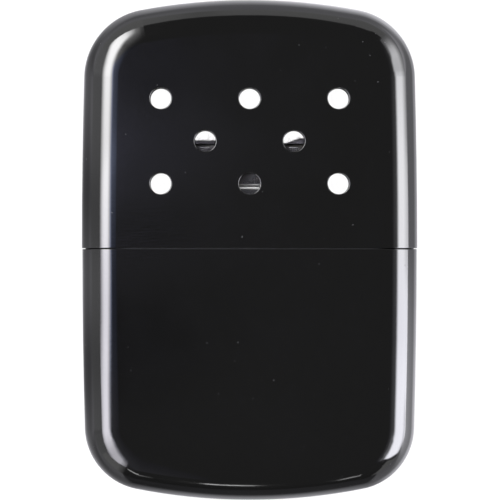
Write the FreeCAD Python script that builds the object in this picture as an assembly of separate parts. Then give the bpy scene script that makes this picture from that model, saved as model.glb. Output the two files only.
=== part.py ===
import FreeCAD, Part

# Catalytic hand warmer: a cotton-filled fuel tank, a catalytic burner over its mouth and a vented lid.
#
# The warmer lies on its back. X runs across the case, Y along it from the foot of the tank to the
# crown of the lid, and Z comes out of the front face. Every piece is laid out from the seam between
# tank and lid, which is Y = 0 until export. All sizes are in millimetres.

import math
import os
from collections import namedtuple
from FreeCAD import Vector

# Case: two deep-drawn, pillow-shaped shells
THICKNESS = 14.0            # back face to front face
CASE_WIDTH = 67.1           # at the rim of the lid
CASE_WALL = 0.5
EDGE_LAND = 0.2             # flat strip left round the case between its front and back edge rounds
END_RADIUS = 117.0          # dome of the foot and of the crown
SIDE_RADIUS = 1200.0        # faint bow of the sides
SEAM_GAP = 0.15             # between the two rims
RIM_STRAIGHT = 1.0          # each rim runs straight this far before its sides start to bow
RIM_ROUND = 0.15            # outer edge of each rim

TANK_LENGTH = 50.2          # rim to foot
TANK_CORNER_RADIUS = 12.7
TANK_STEP_IN = 0.1          # sides of the tank inside those of the lid, at the seam

LID_LENGTH = 49.7           # rim to crown
LID_CORNER_RADIUS = 13.9

# Vents through the front and the back of the lid
VENT_DIAMETER = 4.25
VENT_EDGE_RADIUS = 0.2
VENT_COUNTS = (3, 2, 3)     # in each row, lowest row first
VENT_COLUMN_PITCH = 17.75
VENT_ROW_PITCH = 8.5
VENT_FIRST_ROW = 13.05      # above the seam

# Collar: the plated insert that closes the tank and carries the lid
COLLAR_HEIGHT = 10.9        # seam to the top of its deck
COLLAR_WALL = 0.5
DECK_EDGE_RADIUS = 1.2
SLEEVE_DEPTH = 7.0          # reach down into the tank
LID_CLEARANCE = 0.15        # collar to lid, all round
SOLDER_GAP = 0.05           # collar to tank, and neck to deck

# Filler neck, standing through the deck
NECK_WIDTH = 27.8           # barrel, across the case
NECK_WALL = 0.5
NECK_HEIGHT = 4.6           # deck to mouth
FLANGE_REACH = 1.5          # flange under the deck, beyond the barrel
SHOULDER_HEIGHT = 0.95      # shoulder on the deck that the burner stands on
SHOULDER_LEDGE = 0.1        # shoulder beyond the burner's wall
GRIP_BEAD_REACH = 0.25      # bead round the mouth, beyond the barrel
GRIP_BEAD_HEIGHT = 0.8

# Perforated plate in the neck that holds the cotton down
RETAINER_THICKNESS = 0.4
RETAINER_HOLES = 3
RETAINER_HOLE_LENGTH = 5.4
RETAINER_HOLE_WIDTH = 2.4
RETAINER_HOLE_PITCH = 7.6

# Burner: a skirt that grips the neck, and a slotted cage that holds the catalyst
BURNER_AIR_GAP = 1.5        # foot bead of the skirt to the lid's front and back walls
BURNER_FIT = 0.1            # skirt to the grip bead
BURNER_SEAT_GAP = 0.05      # skirt to shoulder
SKIRT_WALL = 0.45
SKIRT_HEIGHT = 5.1
FOOT_BEAD_REACH = 0.6       # rolled edge beyond the skirt's wall
FOOT_BEAD_HEIGHT = 0.6

CAGE_WALL = 0.4
CAGE_HEIGHT = 5.0
CAGE_ENGAGEMENT = 1.0       # pressed into the top of the skirt
CAGE_EDGE_RADIUS = 0.6
CAGE_LIP = 0.9              # inturned rim that keeps the catalyst in, inside the wall
PRESS_GAP = 0.02            # cage to skirt, and gauze to cage

SLOT_COUNT = 5              # in each long side of the cage
SLOT_WIDTH = 2.1
SLOT_HEIGHT = 3.1
SLOT_PITCH = 4.4
SLOT_CORNER_RADIUS = 0.3
SLOT_TOP_MARGIN = 0.65      # top of the slots to the top of the cage

GAUZE_THICKNESS = 0.15
CATALYST_CLEARANCE = 0.1    # catalyst to gauze and to lip
CATALYST_RISE = 0.8         # crown of the catalyst above the cage
CATALYST_CROWN_RADIUS = 0.7

# Cotton, which soaks up the fuel
COTTON_CLEARANCE = 0.3

# Places along Y that several pieces share
DECK_UNDERSIDE = COLLAR_HEIGHT - COLLAR_WALL
NECK_MOUTH = COLLAR_HEIGHT + NECK_HEIGHT
SKIRT_FOOT = COLLAR_HEIGHT + SHOULDER_HEIGHT + BURNER_SEAT_GAP
SKIRT_TOP = SKIRT_FOOT + SKIRT_HEIGHT
CAGE_FOOT = SKIRT_TOP - CAGE_ENGAGEMENT
CAGE_TOP = CAGE_FOOT + CAGE_HEIGHT
CAGE_CEILING = CAGE_TOP - CAGE_WALL

MID_DEPTH = THICKNESS / 2
EDGE_RADIUS = (THICKNESS - EDGE_LAND) / 2
THIN_EDGE_LIMIT = 0.6 * CASE_WALL   # the most that an edge round may take of the case's wall
BEAD_ROUND_SHARE = 0.48             # edge radius of a rolled bead, as a share of its height
COVE_SHARE = 0.9                    # cove over the foot bead, as a share of the bead's flat top
PAST = 1.0                          # how far a cutter runs past what it cuts
TINY = 1e-6

CaseHalf = namedtuple("CaseHalf", "half_width length corner_radius")
Oblong = namedtuple("Oblong", "width depth")

TANK = CaseHalf(CASE_WIDTH / 2 - TANK_STEP_IN, TANK_LENGTH, TANK_CORNER_RADIUS)
LID = CaseHalf(CASE_WIDTH / 2, LID_LENGTH, LID_CORNER_RADIUS)


def grown(section, margin):
    """The oblong section with a margin added all round, or taken off where it is negative."""
    return Oblong(section.width + 2 * margin, section.depth + 2 * margin)


def side_bow(height):
    """How far a side has drawn in at this distance from the seam."""
    bowed = max(height - RIM_STRAIGHT, 0)
    return SIDE_RADIUS - math.sqrt(SIDE_RADIUS ** 2 - bowed ** 2)


# Oblong sections, from the case inwards
COLLAR = Oblong(
    2 * (LID.half_width - CASE_WALL - LID_CLEARANCE - side_bow(COLLAR_HEIGHT)),
    THICKNESS - 2 * (CASE_WALL + LID_CLEARANCE),
)
SLEEVE = Oblong(
    2 * (TANK.half_width - CASE_WALL - SOLDER_GAP - side_bow(SLEEVE_DEPTH)),
    THICKNESS - 2 * (CASE_WALL + SOLDER_GAP),
)
SKIRT_TO_NECK = GRIP_BEAD_REACH + BURNER_FIT
NECK = Oblong(
    NECK_WIDTH,
    THICKNESS - 2 * (CASE_WALL + BURNER_AIR_GAP + FOOT_BEAD_REACH + SKIRT_WALL + SKIRT_TO_NECK),
)
BORE = grown(NECK, -NECK_WALL)
SKIRT_INSIDE = grown(NECK, SKIRT_TO_NECK)
SKIRT = grown(SKIRT_INSIDE, SKIRT_WALL)
SHOULDER = grown(SKIRT, SHOULDER_LEDGE)
CAGE = grown(SKIRT_INSIDE, -PRESS_GAP)
CAGE_INSIDE = grown(CAGE, -CAGE_WALL)
CAGE_MOUTH = grown(CAGE_INSIDE, -CAGE_LIP)
GAUZE = grown(CAGE_INSIDE, -PRESS_GAP)
GAUZE_INSIDE = grown(GAUZE, -GAUZE_THICKNESS)


def direction(start, end):
    return (end - start) * (1 / start.distanceToPoint(end))


def corner_centre(half, end_centre, side_centre):
    """Centre of the corner arc that runs tangent into both the end dome and the side."""
    end_reach = END_RADIUS - half.corner_radius
    side_reach = SIDE_RADIUS - half.corner_radius
    span = end_centre.distanceToPoint(side_centre)
    along = (end_reach ** 2 - side_reach ** 2 + span ** 2) / (2 * span)
    across = math.sqrt(end_reach ** 2 - along ** 2)
    line = direction(end_centre, side_centre)
    square = Vector(line.y, -line.x, 0)
    return end_centre + line * along + square * across


def case_outline(half, inset, run_out):
    """Front view of a case half set in by inset, its mouth carried run_out below Y = 0."""
    end_centre = Vector(0, half.length - END_RADIUS, 0)
    side_centre = Vector(half.half_width - SIDE_RADIUS, RIM_STRAIGHT, 0)
    centre = corner_centre(half, end_centre, side_centre)
    end_radius = END_RADIUS - inset
    side_radius = SIDE_RADIUS - inset
    corner_radius = half.corner_radius - inset

    mouth = Vector(half.half_width - inset, -run_out, 0)
    side_start = Vector(half.half_width - inset, RIM_STRAIGHT, 0)
    side_end = side_centre + direction(side_centre, centre) * side_radius
    side_middle = side_centre + direction(side_centre, (side_start + side_end) * 0.5) * side_radius
    dome_start = end_centre + direction(end_centre, centre) * end_radius
    corner_middle = centre + direction(centre, (side_end + dome_start) * 0.5) * corner_radius
    crown = Vector(0, half.length - inset, 0)

    def across(point):
        return Vector(-point.x, point.y, point.z)

    curves = [
        Part.LineSegment(mouth, side_start),
        Part.Arc(side_start, side_middle, side_end),
        Part.Arc(side_end, corner_middle, dome_start),
        Part.Arc(dome_start, crown, across(dome_start)),
        Part.Arc(across(dome_start), across(corner_middle), across(side_end)),
        Part.Arc(across(side_end), across(side_middle), across(side_start)),
        Part.LineSegment(across(side_start), across(mouth)),
        Part.LineSegment(across(mouth), mouth),
    ]
    return Part.Face(Part.Wire([curve.toShape() for curve in curves]))


def pillow(half, inset, run_out=0):
    """Solid case half set in by inset on every side but its mouth, with full-round edges."""
    outline = case_outline(half, inset, run_out)
    outline.translate(Vector(0, 0, inset))
    solid = outline.extrude(Vector(0, 0, THICKNESS - 2 * inset))
    edges = []
    for edge in solid.Edges:
        box = edge.BoundBox
        upright = box.ZLength > TINY
        across_mouth = box.YLength < TINY
        if not upright and not across_mouth:
            edges.append(edge)
    return solid.makeFillet(EDGE_RADIUS - inset, edges)


def case_shell(half):
    """One drawn half of the case, mouth at Y = 0 and dome towards +Y, with its rim edge rounded."""
    solid = pillow(half, 0)
    rim = [edge for edge in solid.Edges if edge.BoundBox.YMax < TINY]
    solid = solid.makeFillet(min(RIM_ROUND, THIN_EDGE_LIMIT), rim)
    return solid.cut(pillow(half, CASE_WALL, run_out=PAST))


def oblong(section, low, high, across=0):
    """Bar along Y with straight long sides and full-round ends, centred in the depth of the case."""
    radius = section.depth / 2
    reach = section.width / 2 - radius
    corners = {}
    for side in (-1, 1):
        for face in (-1, 1):
            corners[side, face] = Vector(across + side * reach, low, MID_DEPTH + face * radius)
    ends = {side: Vector(across + side * (reach + radius), low, MID_DEPTH) for side in (-1, 1)}
    edges = [
        Part.LineSegment(corners[-1, 1], corners[1, 1]).toShape(),
        Part.Arc(corners[1, 1], ends[1], corners[1, -1]).toShape(),
        Part.LineSegment(corners[1, -1], corners[-1, -1]).toShape(),
        Part.Arc(corners[-1, -1], ends[-1], corners[-1, 1]).toShape(),
    ]
    return Part.Face(Part.Wire(edges)).extrude(Vector(0, high - low, 0))


def round_edges_at(solid, height, radius, within=None):
    """Fillet the edges in the plane Y = height, or only those no farther out than an oblong section."""
    edges = []
    for edge in solid.Edges:
        box = edge.BoundBox
        in_plane = abs(box.YMin - height) < TINY and abs(box.YMax - height) < TINY
        in_section = within is None or box.ZMax < MID_DEPTH + within.depth / 2 + TINY
        if in_plane and in_section:
            edges.append(edge)
    return solid.makeFillet(radius, edges)


def rolled_bead(section, low, high):
    """Oblong band with a half-round outer edge."""
    band = oblong(section, low, high)
    radius = BEAD_ROUND_SHARE * (high - low)
    return round_edges_at(round_edges_at(band, high, radius), low, radius)


def vent_places():
    for row, count in enumerate(VENT_COUNTS):
        y = VENT_FIRST_ROW + row * VENT_ROW_PITCH
        for column in range(count):
            yield (column - (count - 1) / 2) * VENT_COLUMN_PITCH, y


def is_vent_mouth(edge):
    """Whether the edge is the circle where a vent meets the outside of the case."""
    if edge.Curve.TypeId != "Part::GeomCircle":
        return False
    height = edge.Curve.Center.z
    outside = abs(height) < TINY or abs(height - THICKNESS) < TINY
    return outside and abs(edge.Curve.Radius - VENT_DIAMETER / 2) < TINY


def make_lid_shell():
    shell = case_shell(LID)
    shell.translate(Vector(0, SEAM_GAP, 0))
    length = THICKNESS + 2 * PAST
    vents = [Part.makeCylinder(VENT_DIAMETER / 2, length, Vector(x, y, -PAST)) for x, y in vent_places()]
    shell = shell.cut(vents)
    mouths = [edge for edge in shell.Edges if is_vent_mouth(edge)]
    return shell.makeFillet(min(VENT_EDGE_RADIUS, THIN_EDGE_LIMIT), mouths)


def turned_down(shape):
    """The symmetrical shape with its dome turned from +Y to -Y."""
    shape.rotate(Vector(0, 0, 0), Vector(0, 0, 1), 180)
    return shape


def make_tank_shell():
    return turned_down(case_shell(TANK))


def make_tank_collar():
    """Drawn insert: a sleeve soldered into the tank, the slip collar above it and the deck on top."""
    collar = round_edges_at(oblong(COLLAR, 0, COLLAR_HEIGHT), COLLAR_HEIGHT, DECK_EDGE_RADIUS)
    hollow = oblong(grown(COLLAR, -COLLAR_WALL), 0, DECK_UNDERSIDE)
    if DECK_EDGE_RADIUS > COLLAR_WALL:
        hollow = round_edges_at(hollow, DECK_UNDERSIDE, DECK_EDGE_RADIUS - COLLAR_WALL)
    sleeve = oblong(SLEEVE, -SLEEVE_DEPTH, 0)
    sleeve_hollow = oblong(grown(SLEEVE, -COLLAR_WALL), -SLEEVE_DEPTH, 0)
    mouth = oblong(grown(NECK, SOLDER_GAP), 0, COLLAR_HEIGHT)
    return collar.fuse(sleeve).cut([hollow, sleeve_hollow, mouth])


def make_filler_neck():
    """Drawn mouthpiece: flange under the deck, shoulder on it, and a barrel with a grip bead."""
    flange = oblong(grown(NECK, FLANGE_REACH), DECK_UNDERSIDE - NECK_WALL, DECK_UNDERSIDE)
    barrel = oblong(NECK, DECK_UNDERSIDE - NECK_WALL, NECK_MOUTH)
    shoulder_top = COLLAR_HEIGHT + SHOULDER_HEIGHT
    shoulder = oblong(SHOULDER, COLLAR_HEIGHT, shoulder_top)
    shoulder = round_edges_at(shoulder, shoulder_top, SHOULDER_LEDGE)
    bead = rolled_bead(grown(NECK, GRIP_BEAD_REACH), NECK_MOUTH - GRIP_BEAD_HEIGHT, NECK_MOUTH)
    bore = oblong(BORE, DECK_UNDERSIDE - NECK_WALL, NECK_MOUTH)
    return barrel.fuse([flange, shoulder, bead]).cut(bore)


def make_cotton_retainer():
    plate = oblong(grown(BORE, -SOLDER_GAP), DECK_UNDERSIDE, DECK_UNDERSIDE + RETAINER_THICKNESS)
    hole = Oblong(RETAINER_HOLE_LENGTH, RETAINER_HOLE_WIDTH)
    for index in range(RETAINER_HOLES):
        x = (index - (RETAINER_HOLES - 1) / 2) * RETAINER_HOLE_PITCH
        plate = plate.cut(oblong(hole, DECK_UNDERSIDE, DECK_UNDERSIDE + RETAINER_THICKNESS, across=x))
    return plate


def make_cotton_wad_top():
    """Wad inside the collar, from the foot of its sleeve up into the neck."""
    low = COTTON_CLEARANCE - SLEEVE_DEPTH
    high = DECK_UNDERSIDE - NECK_WALL - COTTON_CLEARANCE
    collar_space = grown(COLLAR, -COLLAR_WALL - COTTON_CLEARANCE)
    wad = round_edges_at(oblong(collar_space, low, high), high, DECK_EDGE_RADIUS)
    tongue = oblong(grown(BORE, -COTTON_CLEARANCE), low, DECK_UNDERSIDE - COTTON_CLEARANCE)
    return wad.fuse(tongue)


def make_cotton_wad(side):
    """Wad that fills one side of the tank below the collar."""
    space = turned_down(pillow(TANK, CASE_WALL + COTTON_CLEARANCE))
    top = -SLEEVE_DEPTH - COTTON_CLEARANCE
    width = TANK.half_width
    low_x = COTTON_CLEARANCE if side > 0 else -COTTON_CLEARANCE - width
    half = Part.makeBox(width, TANK.length, THICKNESS, Vector(low_x, top - TANK.length, 0))
    return space.common(half)


def make_burner_skirt():
    """Sleeve that grips the neck. Its wall flares into a rolled bead at the foot."""
    skirt = oblong(SKIRT, SKIRT_FOOT, SKIRT_TOP)
    bead_top = SKIRT_FOOT + FOOT_BEAD_HEIGHT
    bead = rolled_bead(grown(SKIRT, FOOT_BEAD_REACH), SKIRT_FOOT, bead_top)
    cove = COVE_SHARE * (FOOT_BEAD_REACH - BEAD_ROUND_SHARE * FOOT_BEAD_HEIGHT)
    flared = round_edges_at(skirt.fuse(bead), bead_top, cove, within=SKIRT)
    return flared.cut(oblong(SKIRT_INSIDE, SKIRT_FOOT, SKIRT_TOP))


def cage_slot(x):
    """Rounded window cutter through both long sides of the cage."""
    top = CAGE_TOP - SLOT_TOP_MARGIN
    corner = Vector(x - SLOT_WIDTH / 2, top - SLOT_HEIGHT, 0)
    window = Part.makeBox(SLOT_WIDTH, SLOT_HEIGHT, THICKNESS, corner)
    edges = [edge for edge in window.Edges if edge.BoundBox.ZLength > THICKNESS / 2]
    return window.makeFillet(SLOT_CORNER_RADIUS, edges)


def make_burner_cage():
    """Drawn cup, open below, with slotted sides and an inturned lip round its open top."""
    cage = round_edges_at(oblong(CAGE, CAGE_FOOT, CAGE_TOP), CAGE_TOP, CAGE_EDGE_RADIUS)
    hollow = oblong(CAGE_INSIDE, CAGE_FOOT, CAGE_CEILING)
    if CAGE_EDGE_RADIUS > CAGE_WALL:
        hollow = round_edges_at(hollow, CAGE_CEILING, CAGE_EDGE_RADIUS - CAGE_WALL)
    cuts = [hollow, oblong(CAGE_MOUTH, CAGE_FOOT, CAGE_TOP)]
    for index in range(SLOT_COUNT):
        cuts.append(cage_slot((index - (SLOT_COUNT - 1) / 2) * SLOT_PITCH))
    return cage.cut(cuts)


def make_gauze_floor():
    return oblong(GAUZE, CAGE_FOOT, CAGE_FOOT + GAUZE_THICKNESS)


def make_gauze_sleeve():
    """Strip of gauze that lines the cage behind its slots."""
    low = CAGE_FOOT + GAUZE_THICKNESS
    high = CAGE_CEILING - (CAGE_EDGE_RADIUS - CAGE_WALL)
    return oblong(GAUZE, low, high).cut(oblong(GAUZE_INSIDE, low, high))


def make_catalyst_pad():
    """Pad of catalyst-coated glass fibre that fills the cage and swells out of its mouth."""
    low = CAGE_FOOT + GAUZE_THICKNESS
    body = oblong(grown(GAUZE_INSIDE, -CATALYST_CLEARANCE), low, CAGE_CEILING - CATALYST_CLEARANCE)
    crown_top = CAGE_TOP + CATALYST_RISE
    crown = oblong(grown(CAGE_MOUTH, -CATALYST_CLEARANCE), low, crown_top)
    return body.fuse(round_edges_at(crown, crown_top, CATALYST_CROWN_RADIUS))


def main():
    pieces = {
        "lid_shell": make_lid_shell(),
        "tank_shell": make_tank_shell(),
        "tank_collar": make_tank_collar(),
        "filler_neck": make_filler_neck(),
        "cotton_retainer": make_cotton_retainer(),
        "cotton_wad_top": make_cotton_wad_top(),
        "cotton_wad_left": make_cotton_wad(-1),
        "cotton_wad_right": make_cotton_wad(1),
        "burner_skirt": make_burner_skirt(),
        "burner_cage": make_burner_cage(),
        "burner_gauze_floor": make_gauze_floor(),
        "burner_gauze_sleeve": make_gauze_sleeve(),
        "catalyst_pad": make_catalyst_pad(),
    }
    os.makedirs("parts", exist_ok=True)
    crown = SEAM_GAP + LID_LENGTH
    to_centre = Vector(0, (TANK_LENGTH - crown) / 2, 0)
    for name, shape in pieces.items():
        shape.translate(to_centre)
        shape.exportStep(f"parts/{name}.step")


main()
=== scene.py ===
"""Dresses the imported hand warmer: lacquer, plated steel, woven gauze, catalyst fibre and cotton, in a small studio.

Everything is in metres, in the row frame: X across the case, Y towards the crown of the lid, Z out of its front.
"""

import math

import bpy
import numpy as np
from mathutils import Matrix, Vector, noise


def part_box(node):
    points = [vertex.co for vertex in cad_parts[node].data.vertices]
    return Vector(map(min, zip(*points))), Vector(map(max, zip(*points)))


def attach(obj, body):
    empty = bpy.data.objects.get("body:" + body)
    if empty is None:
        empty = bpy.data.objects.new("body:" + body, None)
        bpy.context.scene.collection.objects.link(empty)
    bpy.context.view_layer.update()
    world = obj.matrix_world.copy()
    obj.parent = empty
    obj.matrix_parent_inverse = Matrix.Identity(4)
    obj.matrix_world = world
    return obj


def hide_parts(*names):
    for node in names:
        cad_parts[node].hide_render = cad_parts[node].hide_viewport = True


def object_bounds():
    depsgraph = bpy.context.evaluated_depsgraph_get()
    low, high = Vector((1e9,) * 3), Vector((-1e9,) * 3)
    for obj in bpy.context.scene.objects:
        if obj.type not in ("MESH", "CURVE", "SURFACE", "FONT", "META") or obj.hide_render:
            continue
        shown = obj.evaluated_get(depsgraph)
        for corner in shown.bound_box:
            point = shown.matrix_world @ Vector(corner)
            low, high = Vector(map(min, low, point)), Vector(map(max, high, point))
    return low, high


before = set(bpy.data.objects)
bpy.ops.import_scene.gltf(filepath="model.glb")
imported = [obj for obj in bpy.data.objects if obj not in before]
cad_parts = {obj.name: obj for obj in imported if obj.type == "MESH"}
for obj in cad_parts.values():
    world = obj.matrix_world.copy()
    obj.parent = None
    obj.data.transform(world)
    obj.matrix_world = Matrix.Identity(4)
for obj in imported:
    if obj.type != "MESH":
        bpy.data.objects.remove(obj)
CAD_LOW, CAD_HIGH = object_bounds()

MM = 0.001
MID_Z = CAD_HIGH.z / 2
FLOOR_Z = -0.02 * MM        # just clear of the flat back
CASE_CORNER = 13.9 * MM     # radius of the corners of the case's outline

# Camera, straight above the front face
CAMERA_HEIGHT = 1.807
CAMERA_PLACE = (0.09 * MM, -0.025 * MM, CAMERA_HEIGHT)
CAMERA_LENS = 647.6

# Finishes
DUST_SPACING = 2.6 * MM
DUST_RADIUS = 0.14 * MM
SWELL_RISE = 0.022 * MM     # how far each kind of unevenness lifts the lacquer
PEEL_RISE = 0.002 * MM
WIPED_RISE = 0.0025 * MM
STREAK_RISE = 0.0012 * MM   # and the plate
SMUDGE_RISE = 0.014 * MM
STRAND_RISE = 0.03 * MM     # and the fibre
BEAD_HEIGHT = 0.5 * MM      # top of the bead at the foot of the skirt, up to which the plate has a painted highlight
COVE_HEIGHTS = (0.79 * MM, 1.085 * MM)     # foot and top of the cove over that bead, where the plate has a fainter painted highlight
COLLAR_ENDS = (24 * MM, 28 * MM)           # where the collar's painted seam shade starts and where it is full

# Woven gauze of the burner
WIRE_PITCH = 0.4 * MM
WIRE_RADIUS = 0.0375 * MM
WIRE_SIDES = 5
HEM_RADIUS = 0.09 * MM
HEM_SIDES = 8
RIM_RADIUS = 1.9 * WIRE_RADIUS
RIM_POINTS = 240

# Catalyst pad
PAD_AROUND = 220            # points round its surface
PAD_RINGS = 46
PAD_FINE = 0.55 * MM        # size of its fine and its broad lumps
PAD_BROAD = 1.9 * MM
STRAY_COUNT = 700
STRAY_LENGTH = 1.1 * MM
STRAY_RADIUS = 0.016 * MM
HAIR_SIDES = 3

# Cotton
WADS = ["cotton_wad_top", "cotton_wad_left", "cotton_wad_right"]
WAD_VOXEL = 0.9 * MM
WAD_LUMP = 7 * MM
WAD_CREASE = 2.6 * MM
TUFT_COUNT = 260
TUFT_LENGTH = 1.6 * MM
TUFT_RADIUS = 0.02 * MM

# Light: each strength or glow is the radiance of a card or of the surroundings
KEY_STRENGTH = 3.6
SURROUND_GLOW = 0.275       # pale room that the rounded sides mirror
CURTAIN_GLOW = 0.245
FLOOR_GLOW = 0.285          # pale floor that the rounded sides mirror
OVERHEAD_GLOW = 0.044       # dim ceiling that the flat face mirrors
ROOM_FILL = 0.12
FILL_GLOW = 16.0
ROOM_TOP_ANGLE = 66.5       # degrees from straight up to the pale room's top edge, where that is lowest

# Cards, by their distance from the case or their height over the floor
LEFT_CARD_HEIGHT = 0.5
CURTAIN_GAP = 0.25
CURTAIN_TOP = 0.162
CURTAIN_REACH = 0.2
RIGHT_CARD_GAP = 0.25
RIGHT_CARD_TOP = 0.45
RIGHT_CARD_NEAR = -0.19
RIGHT_CARD_FAR = 0.33
RIGHT_CARD_SLANT = 0.55     # how far its near end leans out, for each metre of height
OVERHEAD_HEIGHT = 2 * CAMERA_HEIGHT
OVERHEAD_REACH = 0.45
FILL_HEIGHT = 1.2
FILL_REACH = 0.22
SLIT_GAP = 0.6
SLIT_HALF = 0.034           # half the height of a slit

# Middle (x, y), radii and radiance of the patches on the ceiling
CEILING_LIGHT = ((-0.10, 0.058), (0.11, 0.045), 0.064)
CEILING_SHADES = (
    ((-0.080, -0.061), (0.064, 0.042), 0.042),
    ((-0.066, 0.114), (0.046, 0.038), 0.034),
    ((-0.058, 0.017), (0.034, 0.028), 0.016),
)

# Left end, right end and height of each slit's middle, its rise towards the left, and its radiance
SLITS = {
    "slit_left": (-0.33, -0.122, 0.19, 0.9, 1.35),
    "slit_middle": (-0.070, 0.015, 0.226, 0.0, 1.9),
    "slit_right": (0.112, 0.165, 0.245, -2.0, 1.0),
}


def grey(value):
    return (value, value, value, 1.0)


def rgb(red, green, blue):
    return (red, green, blue, 1.0)


# Tints of the light
WHITE = grey(1.0)
KEY_NEAR_TINT = rgb(0.94, 0.92, 1.0)
KEY_FAR_TINT = rgb(1.0, 0.995, 1.0)
KEY_EDGE_TINT = rgb(0.72, 0.81, 1.18)
CURTAIN_TINT = rgb(0.97, 0.975, 1.0)
RIGHT_TINT = rgb(0.97, 0.97, 1.0)
RIGHT_NEAR_TINT = rgb(0.945, 0.943, 1.02)
CEILING_TINT = rgb(0.95, 0.95, 1.30)
FILL_TINT = rgb(0.97, 0.97, 1.0)
FLOOR_TINT = rgb(0.975, 0.97, 1.03)


# ---------------------------------------------------------------- node graphs

class Level:
    """A number in a node graph. Arithmetic on it adds nodes."""

    def __init__(self, graph, socket):
        self.graph = graph
        self.socket = socket

    def __add__(self, other):
        return self.graph.math("ADD", self, other)

    def __sub__(self, other):
        return self.graph.math("SUBTRACT", self, other)

    def __rsub__(self, other):
        return self.graph.math("SUBTRACT", other, self)

    def __mul__(self, other):
        return self.graph.math("MULTIPLY", self, other)

    def __truediv__(self, other):
        return self.graph.math("DIVIDE", self, other)

    def __abs__(self):
        return self.graph.math("ABSOLUTE", self)

    __radd__ = __add__
    __rmul__ = __mul__

    def ramp(self, start, end, low=0.0, high=1.0):
        """Smooth step from low, where this is at start, to high, where it is at end."""
        inputs = {"Value": self, "From Min": start, "From Max": end, "To Min": low, "To Max": high}
        node = self.graph.add("MapRange", inputs, interpolation_type="SMOOTHSTEP")
        return Level(self.graph, node.outputs[0])


class Graph:
    """Builds a node tree with one call per node."""

    def __init__(self, tree):
        self.tree = tree
        tree.nodes.clear()

    def feed(self, socket, value):
        if isinstance(value, Level):
            value = value.socket
        if isinstance(value, bpy.types.NodeSocket):
            self.tree.links.new(value, socket)
        else:
            socket.default_value = value

    def add(self, kind, inputs=None, **settings):
        node = self.tree.nodes.new("ShaderNode" + kind)
        for name, value in settings.items():
            setattr(node, name, value)
        for socket, value in (inputs or {}).items():
            self.feed(node.inputs[socket], value)
        return node

    def math(self, operation, *values):
        node = self.add("Math", dict(enumerate(values)), operation=operation)
        return Level(self, node.outputs[0])

    def largest(self, first, *others):
        for other in others:
            first = self.math("MAXIMUM", first, other)
        return first

    def vector(self, operation, first, second):
        node = self.add("VectorMath", {0: first, 1: second}, operation=operation)
        return node.outputs["Vector"]

    def measure(self, operation, first, second):
        """Number that a pair of vectors gives, such as their distance."""
        node = self.add("VectorMath", {0: first, 1: second}, operation=operation)
        return Level(self, node.outputs["Value"])

    def split(self, vector):
        return [Level(self, output) for output in self.add("SeparateXYZ", {0: vector}).outputs]

    def blend(self, share, first, second):
        """Colour or number between first and second."""
        is_number = isinstance(first, (int, float, Level)) or isinstance(second, (int, float, Level))
        node = self.add("Mix", data_type="FLOAT" if is_number else "RGBA")
        first_socket, second_socket, result = (2, 3, 0) if is_number else (6, 7, 2)
        self.feed(node.inputs[0], share)
        self.feed(node.inputs[first_socket], first)
        self.feed(node.inputs[second_socket], second)
        return Level(self, node.outputs[result]) if is_number else node.outputs[result]

    def place(self):
        """The point on the piece, in metres in the row frame at rest."""
        return self.add("TexCoord").outputs["Object"]

    def noise(self, place, size, detail=2.0, roughness=0.5, distortion=0.0):
        """Noise about 0.5 whose features are about this size, in metres."""
        inputs = {
            "Vector": place,
            "Scale": 1 / size,
            "Detail": detail,
            "Roughness": roughness,
            "Distortion": distortion,
        }
        return Level(self, self.add("TexNoise", inputs, noise_dimensions="3D").outputs[0])

    def bump(self, height, rise, normal=None):
        """Normal of a surface that rises this far, in metres, where height is 1."""
        inputs = {"Height": height, "Strength": 1.0, "Distance": rise}
        if normal is not None:
            inputs["Normal"] = normal
        return self.add("Bump", inputs).outputs[0]

    def emission(self, colour, strength):
        return self.add("Emission", {"Color": colour, "Strength": strength}).outputs[0]

    def diffuse(self, colour):
        return self.add("BsdfDiffuse", {"Color": colour}).outputs[0]

    def mix(self, share, first, second):
        """Shader between first and second."""
        return self.add("MixShader", {0: share, 1: first, 2: second}).outputs[0]


def new_material(name):
    material = bpy.data.materials.new(name)
    material.use_nodes = True
    return material, Graph(material.node_tree)


def principled(graph, **inputs):
    """Ends a material's graph with one Principled shader. Underscores stand for spaces in its sockets' names."""
    named = {name.replace("_", " "): value for name, value in inputs.items()}
    shader = graph.add("BsdfPrincipled", named)
    graph.add("OutputMaterial", {"Surface": shader.outputs[0]})


# ------------------------------------------------------------------ materials

def outside_share(graph):
    """1 on the outside of the case and 0 on its inside: outside, the face turns away from the mid-plane's core."""
    core_x, core_y = 19.5 * MM, 36.0 * MM
    coordinates = graph.add("TexCoord").outputs
    core = graph.vector("MAXIMUM", coordinates["Object"], (-core_x, -core_y, MID_Z))
    core = graph.vector("MINIMUM", core, (core_x, core_y, MID_Z))
    away = graph.vector("SUBTRACT", coordinates["Object"], core)
    facing = graph.measure("DOT_PRODUCT", away, coordinates["Normal"])
    return graph.math("GREATER_THAN", facing, -1.0 * MM)


def dust(graph, place):
    """1 on sparse specks, of uneven size, that have settled on a surface."""
    cells = graph.add("TexVoronoi", {"Vector": place, "Scale": 1 / DUST_SPACING}, feature="F1").outputs
    size = graph.math("MULTIPLY", cells["Color"], DUST_RADIUS / DUST_SPACING)
    return graph.math("LESS_THAN", cells["Distance"], size)


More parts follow.
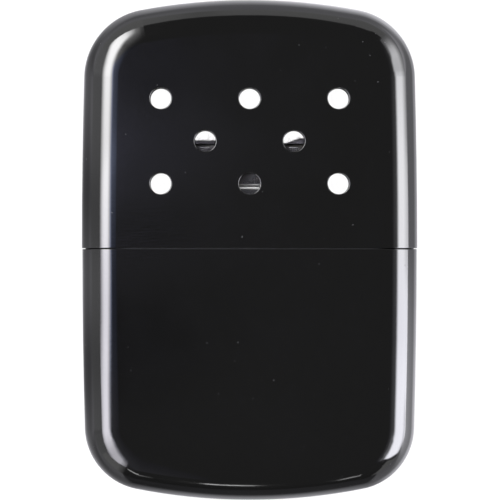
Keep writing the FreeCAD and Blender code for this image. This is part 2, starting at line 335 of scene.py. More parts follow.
def case_lacquer():
    """Black lacquer over the drawn shell, with bare tinned steel inside it."""
    material, graph = new_material("case_lacquer")
    place = graph.place()
    outside = outside_share(graph)
    specks = dust(graph, place)
    smudge = graph.noise(place, 14 * MM, detail=4, roughness=0.6)
    grain = graph.noise(place, 0.7 * MM, detail=3)

    lacquer = graph.blend(specks, grey(0.002), rgb(0.045, 0.047, 0.051))
    tinned = graph.blend(grain, rgb(0.20, 0.195, 0.185), rgb(0.36, 0.355, 0.345))
    gloss = graph.blend(specks, smudge.ramp(0.3, 0.75, 0.07, 0.12), 0.6)

    swell = graph.noise(place, 16 * MM, detail=1)
    peel = graph.noise(place, 0.8 * MM, detail=1)
    wiped = graph.noise(graph.vector("MULTIPLY", place, (0.12, 1.0, 1.0)), 0.3 * MM, detail=2)
    normal = graph.bump(swell, SWELL_RISE)
    normal = graph.bump(peel, PEEL_RISE, normal)
    normal = graph.bump(wiped, WIPED_RISE, normal)
    principled(
        graph,
        Base_Color=graph.blend(outside, tinned, lacquer),
        Metallic=1.0 - outside,
        Roughness=graph.blend(outside, 0.42, gloss),
        IOR=1.8,
        Specular_IOR_Level=1.0,
        Coat_Weight=1.0,
        Coat_Roughness=0.025,
        Coat_IOR=1.6,
        Normal=normal,
    )
    return material


def plated_steel(name, rough, heat=0.0, foot=None, seam=None):
    """Bright nickel plate with drawing marks and smudges, tinted by heat.

    Given the height of a skirt's foot, its bead and cove get a painted highlight: pale, satin and half metallic.
    Given the height of the case's seam, a collar gets painted shade, near black, where the seam gap crosses its two
    ends.
    """
    material, graph = new_material(name)
    place = graph.place()
    x, y, _ = graph.split(place)
    smudge = graph.noise(place, 3.5 * MM, detail=5, roughness=0.62)
    streaks = graph.noise(graph.vector("MULTIPLY", place, (1.0, 0.22, 1.0)), 0.22 * MM, detail=3)
    blotches = graph.noise(place, 2.2 * MM, detail=4, distortion=0.6)

    colour = graph.blend(smudge, rgb(0.56, 0.555, 0.55), rgb(0.66, 0.655, 0.65))
    if heat:
        tint = graph.blend(blotches, rgb(0.20, 0.21, 0.30), rgb(0.46, 0.38, 0.28))
        colour = graph.blend(blotches.ramp(0.35, 0.7, heat * 0.45, heat), colour, tint)
    roughness = smudge.ramp(0.3, 0.7, *rough)
    metallic = 1.0
    if foot is not None:
        height = y - foot
        cove_low, cove_high = COVE_HEIGHTS
        cove = height.ramp(cove_low - 0.05 * MM, cove_low + 0.05 * MM)
        cove *= height.ramp(cove_high + 0.065 * MM, cove_high - 0.065 * MM) * 0.42
        bead = height.ramp(BEAD_HEIGHT + 0.06 * MM, BEAD_HEIGHT - 0.06 * MM)
        # painted highlight: the bead and the cove over it are made pale, satin and half metallic, so they show as
        # bright lines
        painted_highlight = graph.largest(bead, cove)
        colour = graph.blend(painted_highlight, colour, rgb(0.90, 0.89, 0.87))
        roughness = graph.blend(painted_highlight, roughness, 0.5)
        metallic = painted_highlight.ramp(0.0, 1.0, 1.0, 0.5)
    if seam is not None:
        # painted shade: the collar goes near black where the seam gap crosses its two ends
        painted_seam_shade = abs(y - seam).ramp(0.32 * MM, 0.22 * MM) * abs(x).ramp(*COLLAR_ENDS)
        colour = graph.blend(painted_seam_shade, colour, grey(0.008))
    normal = graph.bump(streaks, STREAK_RISE)
    normal = graph.bump(smudge, SMUDGE_RISE, normal)
    principled(graph, Base_Color=colour, Metallic=metallic, Roughness=roughness, Normal=normal)
    return material


def gauze_wire(name, dark, light, metallic):
    """Drawn steel wire, a little blotched by heat, partly diffuse where it is less than fully metallic."""
    material, graph = new_material(name)
    place = graph.place()
    principled(
        graph,
        Base_Color=graph.blend(graph.noise(place, 3 * MM, detail=3), dark, light),
        Metallic=metallic,
        Roughness=graph.noise(place, 0.1 * MM).ramp(0.3, 0.7, 0.38, 0.55),
    )
    return material


def fibre(name, dark, light, clump):
    """Matt matted fibre, mottled in clumps and streaked along its strands."""
    material, graph = new_material(name)
    place = graph.place()
    clumps = graph.noise(place, clump, detail=4, roughness=0.65)
    strands = graph.noise(graph.vector("MULTIPLY", place, (0.25, 1.0, 1.0)), 0.09 * MM, detail=2, distortion=1.5)
    principled(
        graph,
        Base_Color=graph.blend(clumps.ramp(0.3, 0.7) * strands.ramp(0.2, 0.6, 0.55, 1.0), dark, light),
        Roughness=0.9,
        Sheen_Weight=0.3,
        Sheen_Roughness=0.5,
        Normal=graph.bump(strands, STRAND_RISE),
    )
    return material


# --------------------------------------------------------------------- pieces

def mesh_piece(name, vertices, faces, material):
    mesh = bpy.data.meshes.new(name)
    mesh.from_pydata(vertices, [], faces)
    mesh.polygons.foreach_set("use_smooth", [True] * len(mesh.polygons))
    mesh.materials.append(material)
    mesh.update()
    piece = bpy.data.objects.new(name, mesh)
    bpy.context.scene.collection.objects.link(piece)
    return piece


class Tubes:
    """Collects many thin tubes in one mesh."""

    def __init__(self, sides):
        self.sides = sides
        self.vertices = []
        self.faces = []

    def add(self, path, radius, closed=False):
        """A tube along the points of an array, joined end to start where closed and capped where not."""
        count = len(path)
        if closed:
            ahead = np.roll(path, -1, axis=0) - np.roll(path, 1, axis=0)
        else:
            ahead = np.gradient(path, axis=0)
        ahead /= np.linalg.norm(ahead, axis=1)[:, None]
        guide = np.eye(3)[np.argmin(np.abs(ahead).max(axis=0))]
        side = np.cross(ahead, guide)
        side /= np.linalg.norm(side, axis=1)[:, None]
        up = np.cross(side, ahead)
        start = len(self.vertices)
        for turn in range(self.sides):
            angle = 2 * math.pi * turn / self.sides
            ring = path + radius * (math.cos(angle) * side + math.sin(angle) * up)
            self.vertices.extend(map(tuple, ring))
        for turn in range(self.sides):
            near = start + turn * count
            far = start + (turn + 1) % self.sides * count
            for step in range(count if closed else count - 1):
                after = (step + 1) % count
                self.faces.append((near + step, near + after, far + after, far + step))
        if not closed:
            self.faces.append([start + turn * count for turn in range(self.sides)])
            self.faces.append([start + turn * count + count - 1 for turn in reversed(range(self.sides))])

    def piece(self, name, material):
        return mesh_piece(name, self.vertices, self.faces, material)


def oblong_line(half_width, half_depth, count):
    """Evenly spaced points (x, z) round an oblong with full-round ends, and their outward normals."""
    straight = half_width - half_depth
    lengths = [2 * straight, math.pi * half_depth] * 2
    total = sum(lengths)
    points = []
    normals = []
    for index in range(count):
        along = total * index / count
        if along < lengths[0]:
            points.append((-straight + along, half_depth))
            normals.append((0.0, 1.0))
            continue
        along -= lengths[0]
        if along < lengths[1]:
            angle = math.pi / 2 - along / half_depth
            normals.append((math.cos(angle), math.sin(angle)))
            points.append((straight + half_depth * normals[-1][0], half_depth * normals[-1][1]))
            continue
        along -= lengths[1]
        if along < lengths[2]:
            points.append((straight - along, -half_depth))
            normals.append((0.0, -1.0))
            continue
        angle = -math.pi / 2 - (along - lengths[2]) / half_depth
        normals.append((math.cos(angle), math.sin(angle)))
        points.append((-straight + half_depth * normals[-1][0], half_depth * normals[-1][1]))
    return np.array(points), np.array(normals)


def joined(points, heights):
    """Points (x, y, z) in the row frame, from (x, z) about the mid-plane's middle and from heights along Y."""
    return np.column_stack((points[:, 0], heights, points[:, 1] + MID_Z))


def half_section(node):
    """Half the width and half the depth of a node's oblong section."""
    low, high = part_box(node)
    return (high.x - low.x) / 2, (high.z - low.z) / 2


def over_and_under(steps, turn):
    """Offset of a woven wire at these steps, counted in crossings. Odd turns pass under where even ones pass over."""
    return WIRE_RADIUS * np.cos(math.pi * (steps + turn))


def make_gauze_sleeve(material, glint_hem_material):
    """Strip of woven wire round the catalyst, with a thicker hem wire along its top and foot, pale and matt as a
    painted highlight.
    """
    low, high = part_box("burner_gauze_sleeve")
    half_width, half_depth = (half - 2 * WIRE_RADIUS for half in half_section("burner_gauze_sleeve"))
    length = 4 * (half_width - half_depth) + 2 * math.pi * half_depth
    columns = 2 * round(length / WIRE_PITCH / 2)
    rows = int((high.y - low.y) / WIRE_PITCH)
    points, normals = oblong_line(half_width, half_depth, 2 * columns)
    around = np.arange(2 * columns) / 2
    along = np.arange(2 * rows + 1) / 2

    wires = Tubes(WIRE_SIDES)
    for row in range(rows):
        loop = points + normals * over_and_under(around, row)[:, None]
        wires.add(joined(loop, np.full(len(loop), low.y + (row + 0.5) * WIRE_PITCH)), WIRE_RADIUS, closed=True)
    for column in range(columns):
        offsets = over_and_under(along - 0.5, column + 1)
        wire = points[2 * column] + normals[2 * column] * offsets[:, None]
        wires.add(joined(wire, low.y + along * WIRE_PITCH), WIRE_RADIUS)
    piece = wires.piece("woven_gauze_sleeve", material)
    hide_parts("burner_gauze_sleeve")
    hems = Tubes(HEM_SIDES)
    for height in (low.y + HEM_RADIUS, high.y - HEM_RADIUS):
        hems.add(joined(points, np.full(len(points), height)), HEM_RADIUS, closed=True)
    return [piece, hems.piece("gauze_sleeve_hems", glint_hem_material)]


def make_gauze_floor(material):
    """Woven disc of wire that the catalyst rests on, with a rim wire."""
    low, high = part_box("burner_gauze_floor")
    half_width, half_depth = half_section("burner_gauze_floor")
    middle = (low.y + high.y) / 2
    straight = half_width - half_depth

    wires = Tubes(WIRE_SIDES)
    rows = int((half_depth - 2 * WIRE_RADIUS) / WIRE_PITCH)
    for row in range(-rows, rows + 1):
        z = row * WIRE_PITCH
        crossings = int((straight + math.sqrt(half_depth ** 2 - z ** 2)) / WIRE_PITCH)
        steps = np.arange(-2 * crossings, 2 * crossings + 1) / 2
        wire = np.column_stack((steps * WIRE_PITCH, np.full(len(steps), z)))
        wires.add(joined(wire, middle + over_and_under(steps, row)), WIRE_RADIUS)
    columns = int((half_width - 2 * WIRE_RADIUS) / WIRE_PITCH)
    for column in range(-columns, columns + 1):
        x = column * WIRE_PITCH
        crossings = int(math.sqrt(half_depth ** 2 - max(abs(x) - straight, 0) ** 2) / WIRE_PITCH)
        if crossings == 0:
            continue
        steps = np.arange(-2 * crossings, 2 * crossings + 1) / 2
        wire = np.column_stack((np.full(len(steps), x), steps * WIRE_PITCH))
        wires.add(joined(wire, middle + over_and_under(steps, column + 1)), WIRE_RADIUS)
    rim, _ = oblong_line(half_width - 2 * WIRE_RADIUS, half_depth - 2 * WIRE_RADIUS, RIM_POINTS)
    wires.add(joined(rim, np.full(len(rim), middle)), RIM_RADIUS, closed=True)
    piece = wires.piece("woven_gauze_floor", material)
    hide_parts("burner_gauze_floor")
    return piece


def smooth_step(value, start, end):
    share = np.clip((value - start) / (end - start), 0, 1)
    return share * share * (3 - 2 * share)


def lumps(points, size, seed):
    """Noise from about -1 to 1 at each point, with lumps of this size."""
    shift = Vector((seed, 2 * seed, 3 * seed))
    return np.array([noise.noise(Vector(point) / size + shift) for point in points])


def pad_shape():
    """Surface of the catalyst pad as rings of points, from the middle of its underside to its crown."""
    low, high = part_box("catalyst_pad")
    half_width, half_depth = half_section("catalyst_pad")
    cage_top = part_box("burner_cage")[1].y
    rise = high.y - cage_top
    profile = np.array([          # inset from the section, height
        (half_depth, low.y),
        (0.5 * MM, low.y),
        (0.1 * MM, low.y + 0.3 * MM),
        (0.0, low.y + 1.0 * MM),
        (0.0, cage_top - 1.2 * MM),
        (0.25 * MM, cage_top - 0.65 * MM),
        (0.85 * MM, cage_top - 0.5 * MM),
        (0.90 * MM, cage_top),
        (0.85 * MM, cage_top + 0.3 * rise),
        (1.05 * MM, cage_top + 0.7 * rise),
        (1.60 * MM, cage_top + 0.9 * rise),
        (half_depth, cage_top + 0.95 * rise),
    ])
    lengths = np.concatenate(([0], np.cumsum(np.linalg.norm(np.diff(profile, axis=0), axis=1))))
    at = np.linspace(0, lengths[-1], PAD_RINGS)
    rings = []
    for inset, height in zip(np.interp(at, lengths, profile[:, 0]), np.interp(at, lengths, profile[:, 1])):
        inset = min(inset, half_depth - 0.02 * MM)
        points, normals = oblong_line(half_width - inset, half_depth - inset, PAD_AROUND)
        ring = joined(points, np.full(PAD_AROUND, height))
        crown = smooth_step(height, cage_top, cage_top + 0.9 * rise)
        tuft = 1.0 * MM * np.clip((ring[:, 0] - 7.4 * MM) / (2.8 * MM), 0, 1)
        hollow = 0.5 * MM * smooth_step(ring[:, 0], 2 * MM, 7.2 * MM) + 0.14 * MM
        fine = lumps(ring, PAD_FINE, seed=3)
        broad = lumps(ring, PAD_BROAD, seed=5)
        ring[:, 1] += crown * (tuft - hollow + 0.10 * MM * broad + 0.07 * MM * fine)
        squeeze = 0.09 * MM * (fine - 1) + 0.05 * MM * (broad - 1)
        ring[:, 0] += normals[:, 0] * squeeze
        ring[:, 2] += normals[:, 1] * squeeze
        rings.append(ring)
    return np.array(rings)


def stray_fibres(tubes, roots, outward, rng, length, radius, lift):
    """Fine curved hairs that lie along a surface and lift off it a little."""
    for root, out in zip(roots, outward):
        drift = rng.normal(size=3)
        drift -= out * drift.dot(out)
        drift /= np.linalg.norm(drift)
        turn = np.cross(out, drift) * rng.uniform(-0.6, 0.6)
        reach = length * rng.uniform(0.5, 1.3)
        steps = np.linspace(0, 1, 7)[:, None]
        path = root + reach * (steps * drift + steps ** 2 * turn)
        path = path + out * reach * lift * rng.uniform(0.2, 1.0) * np.sin(steps * math.pi * rng.uniform(0.6, 1.0))
        tubes.add(path, radius * rng.uniform(0.7, 1.2))


def make_catalyst_pad(material):
    """Matted glass fibre that fills the cage, swells out of its mouth and is ragged on top."""
    rings = pad_shape()
    faces = []
    for ring in range(PAD_RINGS - 1):
        start, end = ring * PAD_AROUND, (ring + 1) * PAD_AROUND
        for index in range(PAD_AROUND):
            after = (index + 1) % PAD_AROUND
            faces.append((start + index, start + after, end + after, end + index))
    faces.append(list(range(PAD_AROUND))[::-1])
    last = (PAD_RINGS - 1) * PAD_AROUND
    for index in range(PAD_AROUND // 2):
        cap = (index, index + 1, (PAD_AROUND - index - 1) % PAD_AROUND, (PAD_AROUND - index) % PAD_AROUND)
        faces.append([last + point for point in dict.fromkeys(cap)])
    piece = mesh_piece("catalyst_fibre_pad", list(map(tuple, rings.reshape(-1, 3))), faces, material)

    rng = np.random.default_rng(11)
    cage_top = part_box("burner_cage")[1].y
    crown = [vertex for vertex in piece.data.vertices if vertex.co.y > cage_top]
    chosen = rng.choice(len(crown), STRAY_COUNT)
    tubes = Tubes(HAIR_SIDES)
    roots = [np.array(crown[index].co) for index in chosen]
    outward = [np.array(crown[index].normal) for index in chosen]
    stray_fibres(tubes, roots, outward, rng, STRAY_LENGTH, STRAY_RADIUS, lift=0.2)
    hairs = tubes.piece("catalyst_stray_fibres", material)
    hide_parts("catalyst_pad")
    return [piece, hairs]


def make_cotton_wad(node, material, seed):
    """Wad of cotton: the node's form, pulled in a little by soft lumps and creases."""
    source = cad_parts[node]
    piece = bpy.data.objects.new(node + "_fleece", source.data.copy())
    bpy.context.scene.collection.objects.link(piece)
    remesh = piece.modifiers.new("remesh", "REMESH")
    remesh.mode = "VOXEL"
    remesh.voxel_size = WAD_VOXEL
    bpy.context.view_layer.update()
    fleece = bpy.data.meshes.new_from_object(piece.evaluated_get(bpy.context.evaluated_depsgraph_get()))
    piece.modifiers.clear()
    piece.data = fleece
    for vertex, normal in zip(fleece.vertices, [vertex.normal.copy() for vertex in fleece.vertices]):
        broad = noise.noise(vertex.co / WAD_LUMP + Vector((seed, 0, 0)))
        crease = abs(noise.noise(vertex.co / WAD_CREASE + Vector((0, seed, 0))))
        vertex.co += normal * (0.35 * (broad - 0.6) + 0.5 * (crease - 0.45)) * MM
    fleece.polygons.foreach_set("use_smooth", [True] * len(fleece.polygons))
    fleece.materials.clear()
    fleece.materials.append(material)
    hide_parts(node)
    return piece


def make_cotton_tufts(material):
    """Loose cotton that stands up under the holes of the retainer."""
    low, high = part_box("cotton_retainer")
    rng = np.random.default_rng(5)
    tubes = Tubes(HAIR_SIDES)
    reach_x, reach_z = 0.72 * high.x, 0.25 * (high.z - low.z)
    roots = np.column_stack((
        rng.uniform(-reach_x, reach_x, TUFT_COUNT),
        np.full(TUFT_COUNT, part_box("cotton_wad_top")[1].y - 0.25 * MM),
        rng.uniform(MID_Z - reach_z, MID_Z + reach_z, TUFT_COUNT),
    ))
    outward = np.tile((0.0, 1.0, 0.0), (TUFT_COUNT, 1))
    stray_fibres(tubes, roots, outward, rng, TUFT_LENGTH, TUFT_RADIUS, lift=0.18)
    return tubes.piece("cotton_tufts", material)


def add_pieces():
    """Builds the soft and woven pieces. Each rides on its body, in the finish it is made with."""
    wire = gauze_wire("gauze_wire", rgb(0.56, 0.55, 0.57), rgb(0.74, 0.72, 0.73), metallic=0.6)
    # painted highlight: the hem wire is near white and almost wholly diffuse, so it shows as a bright line
    glint_hem_wire = gauze_wire("glint_hem_wire", grey(0.88), grey(0.94), metallic=0.1)
    glass_fibre = fibre("glass_fibre", rgb(0.045, 0.042, 0.052), rgb(0.21, 0.20, 0.23), clump=1.1 * MM)
    cotton = fibre("cotton", rgb(0.62, 0.60, 0.55), rgb(0.88, 0.87, 0.84), clump=2.4 * MM)
    made = [
        ("burner", "steel_gauze", [*make_gauze_sleeve(wire, glint_hem_wire), make_gauze_floor(wire)]),
        ("burner", "catalyst_fibre", make_catalyst_pad(glass_fibre)),
        ("tank", "cotton", [make_cotton_wad(node, cotton, seed) for seed, node in enumerate(WADS, 1)]),
        ("tank", "cotton", [make_cotton_tufts(cotton)]),
    ]
    for body, slot, pieces in made:
        for piece in pieces:
            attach(piece, body)


def dress_cad():
    """Gives each CAD node that stays in sight its material."""
    seam = (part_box("lid_shell")[0].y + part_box("tank_shell")[1].y) / 2
    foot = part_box("burner_skirt")[0].y
    lacquer = case_lacquer()
    plated = plated_steel("plated_steel", rough=(0.14, 0.21), seam=seam)
    finishes = {
        "lid_shell": lacquer,
        "tank_shell": lacquer,
        "tank_collar": plated,
        "filler_neck": plated,
        "cotton_retainer": plated,
        "burner_skirt": plated_steel("skirt_plate", rough=(0.24, 0.38), heat=0.75, foot=foot),
        "burner_cage": plated_steel("heated_plate", rough=(0.24, 0.38), heat=0.75),
    }
    for node, finish in finishes.items():
        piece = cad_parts[node]
        piece.data.materials.clear()
        piece.data.materials.append(finish)


# --------------------------------------------------------------------- studio
#
# In the glow functions and in mirrored_floor, a ramp of x, y or z runs between two places, in metres, and gives the
# level of the light at each. They were set by comparing renders with the photo.

def flat_sheet(name, outline, material):
    """Flat sheet inside an outline."""
    mesh = bpy.data.meshes.new(name)
    mesh.from_pydata(outline, [], [range(len(outline))])
    mesh.materials.append(material)
    sheet = bpy.data.objects.new(name, mesh)
    bpy.context.scene.collection.objects.link(sheet)
    return sheet


def light_card(name, corners, glow, diffuse=True, gloss=True):
    """Card between these corners, hidden from the camera. glow gives its colour and radiance at a point on it.

    Diffuse or gloss is False for a card that isn't to light diffuse surfaces, or to show in gloss.
    """
    material, graph = new_material(name)
    colour, strength = glow(graph, *graph.split(graph.place()))
    graph.add("OutputMaterial", {"Surface": graph.emission(colour, strength)})
    card = flat_sheet(name, corners, material)
    card.visible_camera = False
    card.visible_diffuse = diffuse
    card.visible_glossy = gloss


def level_square(reach, height):
    """Corners of a level square over the middle of the case."""
    return [(x * reach, y * reach, height) for x, y in ((-1, -1), (1, -1), (1, 1), (-1, 1))]


def pleats(along, pitch, start, depth):
    """Light level of a few soft folds, this far apart, about the middle of one coordinate: 1 on average."""
    turn = (along - start) * (2 * math.pi / pitch)
    depth = abs(along).ramp(2.4 * pitch, 1.2 * pitch, 0.0, depth)
    return along.graph.math("COSINE", turn) * depth + 1.0


def left_softbox_glow(graph, x, y, z):
    """Bright body with ragged edges, a bluish haze inside it and a faint tail."""
    out = CAD_LOW.x - x     # distance out from the case
    turn = y / abs(x)       # slope of the line from the middle of the case
    inner = out + y.ramp(0.10, 0.60, 0.0, 0.10) - turn.ramp(0.2, 1.5, 0.0, 0.10)
    inner -= y.ramp(-0.008, -0.055, 0.0, 0.10) * y.ramp(-0.06, -0.15, 1.0, 0.4)
    outer = out * y.ramp(-0.02, -0.055, 1.0, 0.77)
    outer *= turn.ramp(0.35, 0.9, 1.0, 0.70) + turn.ramp(1.15, 2.0, 0.0, 0.45)
    body = inner.ramp(0.107, 0.297) * outer.ramp(0.83, 0.37)

    ends = turn.ramp(-1.95, -1.25, 0.0, 0.55) + turn.ramp(-0.85, -0.1, 0.0, 0.45)
    ends *= turn.ramp(2.9, 0.9)
    bright = y.ramp(0.042, 0.07, 1.0, 1.18) * y.ramp(-0.01, 0.01, 0.96, 1.0)
    bright *= y.ramp(0.034, 0.026, 0.0, 0.14) * y.ramp(-0.002, 0.008) + 1.0
    bright *= pleats(y, pitch=0.027, start=0.022, depth=0.04)

    haze = y.ramp(-0.005, 0.015, 0.007, 0.04) + abs(y - 0.0256).ramp(0.011, 0.0, 0.0, 0.06)
    haze *= out.ramp(0.0, 0.13, 0.35, 1.3) * out.ramp(0.30, 0.16) * turn.ramp(1.3, 0.8)
    tail = out.ramp(0.02, 0.20, 0.0, 0.045) * y.ramp(-0.02, 0.10, 0.1, 1.2)
    tail *= turn.ramp(4.6, 2.8) * turn.ramp(1.0, 1.8, 1.0, 2.3)
    share = graph.largest(body * ends * bright, haze) + tail

    key = graph.blend(y.ramp(-0.02, 0.05), KEY_NEAR_TINT, KEY_FAR_TINT)
    neutral = graph.largest(
        out.ramp(0.20, 0.32),
        y.ramp(0.08, 0.14),
        body.ramp(0.05, 0.6),
        y.ramp(-0.022, -0.048, 0.0, 0.85),
    )
    return graph.blend(neutral, KEY_EDGE_TINT, key), share * KEY_STRENGTH + OVERHEAD_GLOW


def add_left_card():
    """Broad softbox that lies flat above and to the left, with a long soft inner edge."""
    near, far = -0.75, 0.88
    inner, outer = CAD_LOW.x - 0.02, CAD_LOW.x - 1.1
    outline = [(outer, near), (inner, near), (inner, 0.16), (-0.14, far), (outer, far)]
    light_card("left_softbox", [(x, y, LEFT_CARD_HEIGHT) for x, y in outline], left_softbox_glow)


def curtain_glow(graph, x, y, z):
    folds = pleats(y, pitch=0.040, start=-0.009, depth=0.18)
    return CURTAIN_TINT, folds * y.ramp(0.030, 0.05, CURTAIN_GLOW, 1.4 * CURTAIN_GLOW)


def add_left_curtain():
    """Pale curtain under the left softbox. Its soft folds shade the grey band down the case's left side."""
    x = CAD_LOW.x - CURTAIN_GAP
    near, far = -CURTAIN_REACH, CURTAIN_REACH
    corners = [(x, near, 0.0), (x, far, 0.0), (x, far, CURTAIN_TOP), (x, near, CURTAIN_TOP)]
    light_card("left_curtain", corners, curtain_glow, diffuse=False)


def right_softbox_glow(graph, x, y, z):
    """Body with a soft top, a foot that is dimmer in places and a slanted near end, with pale room beyond it."""
    level = y.ramp(0.022, 0.082, 1.0, 0.53) * y.ramp(-0.022, -0.036, 1.0, 1.1)
    rise = y.ramp(0.04, 0.09) * y.ramp(0.19, 0.12) * 0.045
    foot = y.ramp(-0.012, -0.003, 0.9, 0.58)
    foot += y.ramp(0.015, 0.035, 0.0, -0.33) + y.ramp(-0.038, -0.044, 0.0, -0.45)
    foot_top = y.ramp(-0.012, -0.002, 0.055, 0.10)
    body = (z - rise).ramp(0.252, 0.167) * z.ramp(-0.01, foot_top, foot, 1.0)
    tail = z.ramp(0.45, 0.20, 0.0, 0.05)
    band = z.ramp(0.31, 0.29) * y.ramp(-0.05, -0.12, 0.0, 0.10)
    ends = (z * RIGHT_CARD_SLANT + y).ramp(RIGHT_CARD_NEAR - 0.01, RIGHT_CARD_NEAR + 0.02)
    ends *= y.ramp(RIGHT_CARD_FAR - 0.01, 0.15)
    strength = graph.largest(body + tail, band) * level * ends * (0.97 * KEY_STRENGTH)
    beside = y.ramp(0.10, 0.20) * z.ramp(0.30, 0.24) * SURROUND_GLOW
    colour = graph.blend(y.ramp(0.01, -0.02), RIGHT_TINT, RIGHT_NEAR_TINT)
    return colour, strength + beside + OVERHEAD_GLOW


def add_right_card():
    """Softbox that stands to the right, dimmer towards the crown of the lid."""
    x = CAD_HIGH.x + RIGHT_CARD_GAP
    near = RIGHT_CARD_NEAR - 0.03
    corners = [
        (x, near, 0.0),
        (x, RIGHT_CARD_FAR, 0.0),
        (x, RIGHT_CARD_FAR, RIGHT_CARD_TOP),
        (x, near - RIGHT_CARD_SLANT * RIGHT_CARD_TOP, RIGHT_CARD_TOP),
    ]
    light_card("right_softbox", corners, right_softbox_glow)


def ceiling_glow(graph, x, y, z):
    """Dim ceiling, a little lighter to the upper left."""
    def patch(middle, radii, radiance):
        across = (x - middle[0]) / radii[0]
        along = (y - middle[1]) / radii[1]
        return (across * across + along * along).ramp(1.0, 0.0) * radiance

    light = patch(*CEILING_LIGHT) + x.ramp(-0.0745, -0.0815) * y.ramp(0.01, 0.05, 0.0, 0.08)
    near_strip = y.ramp(-0.05, -0.08) * y.ramp(-0.135, -0.11) * x.ramp(0.05, 0.0) * 0.006
    shade = sum(patch(*spot) for spot in CEILING_SHADES)
    return graph.blend(light.ramp(0.0, 0.08), WHITE, CEILING_TINT), light + near_strip + OVERHEAD_GLOW - shade


def add_overhead_cards():
    """Ceiling above the camera, which the flat face mirrors, and a fill light, which reaches into the vents.

    The ceiling is kept off all but gloss. The fill is kept off gloss.
    """
    light_card("overhead_card", level_square(OVERHEAD_REACH, OVERHEAD_HEIGHT), ceiling_glow, diffuse=False)
    light_card("fill_card", level_square(FILL_REACH, FILL_HEIGHT), lambda *_: (FILL_TINT, FILL_GLOW), gloss=False)


def add_slit_card(name, left, right, height, rise, strength):
    """Dim window gap low in front, which shows as a thin line near the foot of the tank."""
    y = CAD_LOW.y - SLIT_GAP
    lift = rise * (right - left)
    corners = [
        (left, y, height + lift - SLIT_HALF),
        (right, y, height - SLIT_HALF),
        (right, y, height + SLIT_HALF),
        (left, y, height + lift + SLIT_HALF),
    ]

    def glow(graph, x, y, z):
        fade = 0.2 * (right - left)
        ends = x.ramp(left, left + fade) * x.ramp(right, right - fade)
        middle = (right - x) * rise + height
        return WHITE, ends * abs(z - middle).ramp(SLIT_HALF, 0.2 * SLIT_HALF) * strength

    light_card(name, corners, glow, diffuse=False)


def beyond_case(graph, place):
    """Distance from the outline of the case on the floor, 0 and less under it."""
    core_x, core_y = CAD_HIGH.x - CASE_CORNER, CAD_HIGH.y - CASE_CORNER
    core = graph.vector("MAXIMUM", place, (-core_x, -core_y, 0.0))
    core = graph.vector("MINIMUM", core, (core_x, core_y, 0.0))
    return graph.measure("DISTANCE", place, core) - CASE_CORNER


def mirrored_floor(graph, x, y, beyond):
    """Radiance of the floor as gloss mirrors it."""
    corner = graph.largest(abs(x) - 0.03, 0.0)
    front_edge = (corner * x.ramp(-0.02, 0.02, 1.8, 1.75) + y).ramp(-0.072, -0.058, 0.23, 1.0)

    right = y.ramp(0.006, -0.034, 1.35, 3.6) * (x * 0.35 + y).ramp(-0.031, -0.048, 1.0, 0.26)
    far_spot = y.ramp(0.045, 0.06, 0.0, 1.6) * y.ramp(0.10, 0.07) * x.ramp(0.042, 0.06)
    right = graph.blend(x.ramp(0.0, 0.1), 1.0, right + far_spot)

    on_left = x.ramp(-0.01, -0.03)
    folds = pleats(y, pitch=0.036, start=-0.006, depth=0.28) * y.ramp(0.024, 0.044, 1.0, 1.3)
    left = graph.blend(on_left, 1.0, folds) * graph.blend(on_left, 1.0, beyond.ramp(0.0, 80 * MM, 0.57, 0.93))

    beside = graph.largest(abs(x) - 0.02, 0.0)
    near_rim = x.ramp(0.012, 0.030, 0.7, -0.15)
    near_rim += x.ramp(-0.012, -0.030) * y.ramp(-0.042, -0.028, 0.0, -0.6)
    far_rim = x.ramp(-0.01, 0.02, 1.5, 2.3)
    rim = beyond.ramp(26 * MM, 2 * MM) * (beside * -0.5 + y).ramp(0.030, 0.052, near_rim, far_rim) + 1.0
    ring_outer, ring_inner = x.ramp(-0.01, 0.01, 7 * MM, 11 * MM), x.ramp(-0.01, 0.01, 4 * MM, 7 * MM)
    rim += beyond.ramp(ring_outer, ring_inner) * abs(x).ramp(0.026, 0.033) * 0.8

    card_x = CAD_HIGH.x + RIGHT_CARD_GAP
    spill = x.ramp(card_x - 0.7 * RIGHT_CARD_GAP, card_x) * graph.math("LESS_THAN", x, card_x)
    spill *= y.ramp(0.04, -0.03, 0.1, 1.6) * y.ramp(-0.11, -0.07) * y.ramp(0.25, 0.12) * (0.8 * KEY_STRENGTH)
    return right * left * front_edge * rim * FLOOR_GLOW + spill


def add_floor():
    """Pale floor, clear from below. The camera sees it as a lit table that keeps the warmer's shadow."""
    radius, sides = 4.0, 96
    turns = [2 * math.pi * step / sides for step in range(sides)]
    outline = [(radius * math.cos(turn), radius * math.sin(turn), FLOOR_Z) for turn in turns]
    material, graph = new_material("floor")
    place = graph.place()
    x, y, _ = graph.split(place)
    beyond = beyond_case(graph, place)
    path = graph.add("LightPath").outputs

    table = graph.emission(WHITE, beyond.ramp(0.15, 0.5, 0.9, 1.0))
    seen = graph.add("AddShader", {0: table, 1: graph.diffuse(grey(0.2))}).outputs[0]
    mirrored = graph.emission(FLOOR_TINT, mirrored_floor(graph, x, y, beyond))
    under_case = graph.emission(WHITE, 1.0)
    direct = graph.largest(path["Is Camera Ray"], path["Is Transmission Ray"])
    below = graph.add("NewGeometry").outputs["Backfacing"]

    shader = graph.mix(path["Is Glossy Ray"], graph.diffuse(grey(0.6)), mirrored)
    shader = graph.mix(direct, shader, seen)
    shader = graph.mix(beyond.ramp(-5 * MM, -9 * MM), shader, under_case)
    shader = graph.mix(below, shader, graph.add("BsdfTransparent").outputs[0])
    graph.add("OutputMaterial", {"Surface": shader})
    floor = flat_sheet("floor", outline, material)


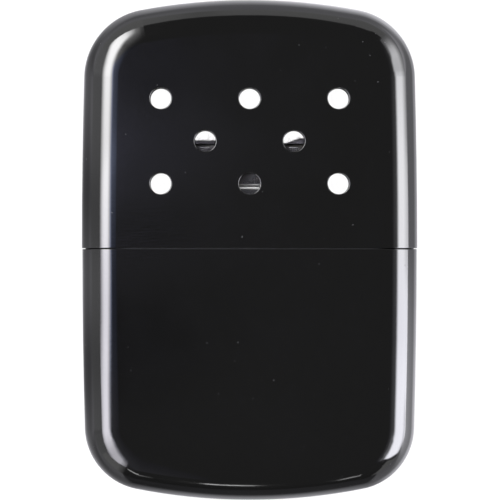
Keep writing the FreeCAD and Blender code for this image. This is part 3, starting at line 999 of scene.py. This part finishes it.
def make_world():
    """White to the camera; to gloss, a dark ceiling over a pale room whose top edge is lowest straight ahead."""
    world = bpy.data.worlds.new("studio")
    world.use_nodes = True
    graph = Graph(world.node_tree)
    x, y, z = graph.split(graph.add("TexCoord").outputs["Generated"])
    path = graph.add("LightPath").outputs
    reach = graph.math("SQRT", x * x + y * y)
    across, along = x / reach, y / reach       # bearing of the direction, as seen from above

    top = across.ramp(-0.12, -0.42, 0.0, 0.24) + across.ramp(-0.15, -0.38, 0.0, 0.19)
    top += across.ramp(0.10, 0.25, 0.0, 0.095) - across.ramp(0.38, 0.55, 0.0, 0.09)
    top += math.cos(math.radians(ROOM_TOP_ANGLE))
    front = along - across.ramp(-0.2, 0.2, 0.0, 0.75)
    room = (z - top).ramp(0.02, -0.02) * front.ramp(-0.91, -0.80)
    low_front = across.ramp(0.35, 0.45) * along.ramp(-0.40, -0.55)
    low_front *= (z + along.ramp(-0.72, -0.92, 0.0, 0.20)).ramp(0.32, 0.22)
    uneven = across.ramp(-0.12, -0.25, 1.0, 1.17) * abs(across + 0.085).ramp(0.0, 0.06, 0.84, 1.0)
    pale = graph.largest(room, low_front) * uneven * SURROUND_GLOW
    ceiling = z.ramp(-0.3, 0.5, 0.6 * OVERHEAD_GLOW, OVERHEAD_GLOW)

    shares = {
        "Is Diffuse Ray": ROOM_FILL,
        "Is Glossy Ray": graph.largest(pale, ceiling),
        "Is Camera Ray": 1.0,
        "Is Transmission Ray": 1.0,
    }
    strength = sum(graph.math("MULTIPLY", path[kind], share) for kind, share in shares.items())
    shader = graph.add("Background", {"Color": WHITE, "Strength": strength}).outputs[0]
    graph.add("OutputWorld", {"Surface": shader})
    bpy.context.scene.world = world


def add_camera():
    data = bpy.data.cameras.new("camera")
    data.lens = CAMERA_LENS
    data.clip_start, data.clip_end = 0.05, 20.0
    camera = bpy.data.objects.new("camera", data)
    camera.location = CAMERA_PLACE
    bpy.context.scene.collection.objects.link(camera)
    bpy.context.scene.camera = camera


def make_studio():
    add_camera()
    add_floor()
    add_left_card()
    add_left_curtain()
    add_right_card()
    add_overhead_cards()
    for name, measures in SLITS.items():
        add_slit_card(name, *measures)
    make_world()
    bpy.context.scene.view_settings.view_transform = "Standard"


# ----------------------------------------------------------------------- main

dress_cad()
add_pieces()
make_studio()
